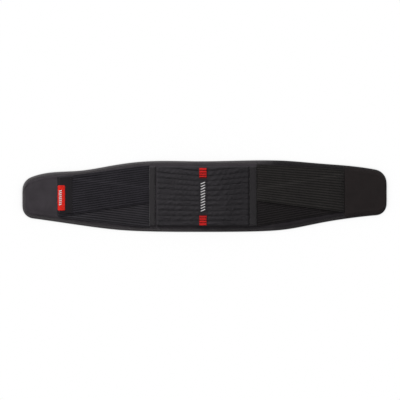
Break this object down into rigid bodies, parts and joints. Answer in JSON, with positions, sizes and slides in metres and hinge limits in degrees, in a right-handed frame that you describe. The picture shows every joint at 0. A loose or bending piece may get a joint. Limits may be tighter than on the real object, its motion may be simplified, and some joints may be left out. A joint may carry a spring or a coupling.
{
  "type": "lumbar support belt",
  "caption": "Wrap-round lumbar support belt with a ribbed back panel, crossing elastic wings and hook and loop tabs, laid flat.",
  "frame": {"origin": "middle of the belt on its inner face, which lies on the ground when the belt is laid flat", "axes": "+X along the belt to the loop tab end, +Y the wearer's up, +Z out of the outer face"},
  "size_m": [1.019, 0.2002, 0.0097],
  "materials": {
    "foam_laminate": "matt warp-knit outer fabric on foam",
    "binding_tape": "matt woven tape",
    "lining_mesh": "matt open-mesh knit",
    "hook_tape": "matt hook tape",
    "loop_velour": "brushed loop pile",
    "upper_elastic": "ribbed woven elastic",
    "lower_elastic": "ribbed woven elastic",
    "end_patch_fabric": "matt woven fabric",
    "red_label": "woven label",
    "ribbed_cover_fabric": "quilted ribs, matt",
    "core_foam": "open-cell foam",
    "channel_webbing": "matt woven webbing",
    "tip_plastic": "moulded, matt",
    "spring_steel": "blued strip",
    "ribbon_weave": "satin woven ribbon",
    "red_rubber": "raised satin print"
  },
  "bodies": {
    "left_tab": {"hook_patch": "hook_tape", "left_tab_binding": "binding_tape", "left_tab_laminate": "foam_laminate"},
    "left_wing_outer": {"left_end_patch": "end_patch_fabric", "left_lower_band_outer": "lower_elastic", "left_upper_band_outer": "upper_elastic", "left_wing_outer_binding": "binding_tape", "left_wing_outer_laminate": "foam_laminate", "left_wing_outer_lining": "lining_mesh", "side_label": "red_label"},
    "left_wing_inner": {"left_lower_band_inner": "lower_elastic", "left_upper_band_inner": "upper_elastic", "left_wing_inner_binding": "binding_tape", "left_wing_inner_laminate": "foam_laminate", "left_wing_inner_lining": "lining_mesh"},
    "left_back": {"left_back_binding": "binding_tape", "left_back_foam_core": "core_foam", "left_back_laminate": "foam_laminate", "left_back_lining": "lining_mesh", "left_back_ribbed_cover": "ribbed_cover_fabric", "left_back_stay": "spring_steel", "left_back_stay_channel": "channel_webbing", "left_back_stay_tips": "tip_plastic"},
    "centre_back": {"centre_back_binding": "binding_tape", "centre_back_foam_core": "core_foam", "centre_back_laminate": "foam_laminate", "centre_back_lining": "lining_mesh", "centre_back_ribbed_cover": "ribbed_cover_fabric", "centre_back_stay_tips": "tip_plastic", "centre_back_stays": "spring_steel", "centre_ribbon": "ribbon_weave", "lower_red_patch": "red_rubber", "upper_red_patch": "red_rubber"},
    "right_back": {"right_back_binding": "binding_tape", "right_back_foam_core": "core_foam", "right_back_laminate": "foam_laminate", "right_back_lining": "lining_mesh", "right_back_ribbed_cover": "ribbed_cover_fabric", "right_back_stay": "spring_steel", "right_back_stay_channel": "channel_webbing", "right_back_stay_tips": "tip_plastic"},
    "right_wing_inner": {"right_lower_band_inner": "lower_elastic", "right_upper_band_inner": "upper_elastic", "right_wing_inner_binding": "binding_tape", "right_wing_inner_laminate": "foam_laminate", "right_wing_inner_lining": "lining_mesh"},
    "right_wing_outer": {"right_lower_band_outer": "lower_elastic", "right_upper_band_outer": "upper_elastic", "right_wing_outer_binding": "binding_tape", "right_wing_outer_laminate": "foam_laminate", "right_wing_outer_lining": "lining_mesh"},
    "right_tab": {"loop_patch": "loop_velour", "right_tab_binding": "binding_tape", "right_tab_laminate": "foam_laminate", "right_tab_lining": "lining_mesh"}
  },
  "joints": [
    {"name": "left_back_fold", "type": "hinge", "parent": "centre_back", "child": "left_back", "pos_m": [-0.0795, 0, 0.0015], "axis": [0, -1, 0], "range_deg": [-30, 30], "stiffness_Nm_per_rad": 0.1},
    {"name": "left_panel_fold", "type": "hinge", "parent": "left_back", "child": "left_wing_inner", "pos_m": [-0.157, 0, 0.0015], "axis": [0, -1, 0], "range_deg": [-50, 50], "stiffness_Nm_per_rad": 0.05},
    {"name": "left_wing_fold", "type": "hinge", "parent": "left_wing_inner", "child": "left_wing_outer", "pos_m": [-0.266, 0, 0.0015], "axis": [0, -1, 0], "range_deg": [-55, 55], "stiffness_Nm_per_rad": 0.03},
    {"name": "left_tab_fold", "type": "hinge", "parent": "left_wing_outer", "child": "left_tab", "pos_m": [-0.421, 0, 0.0015], "axis": [0, -1, 0], "range_deg": [-45, 45], "stiffness_Nm_per_rad": 0.012},
    {"name": "right_back_fold", "type": "hinge", "parent": "centre_back", "child": "right_back", "pos_m": [0.0705, 0, 0.0015], "axis": [0, 1, 0], "range_deg": [-30, 30], "stiffness_Nm_per_rad": 0.1},
    {"name": "right_panel_fold", "type": "hinge", "parent": "right_back", "child": "right_wing_inner", "pos_m": [0.148, 0, 0.0015], "axis": [0, 1, 0], "range_deg": [-50, 50], "stiffness_Nm_per_rad": 0.05},
    {"name": "right_wing_fold", "type": "hinge", "parent": "right_wing_inner", "child": "right_wing_outer", "pos_m": [0.281, 0, 0.0015], "axis": [0, 1, 0], "range_deg": [-55, 55], "stiffness_Nm_per_rad": 0.03},
    {"name": "right_tab_fold", "type": "hinge", "parent": "right_wing_outer", "child": "right_tab", "pos_m": [0.394, 0, 0.0015], "axis": [0, 1, 0], "range_deg": [-45, 45], "stiffness_Nm_per_rad": 0.012}
  ]
}
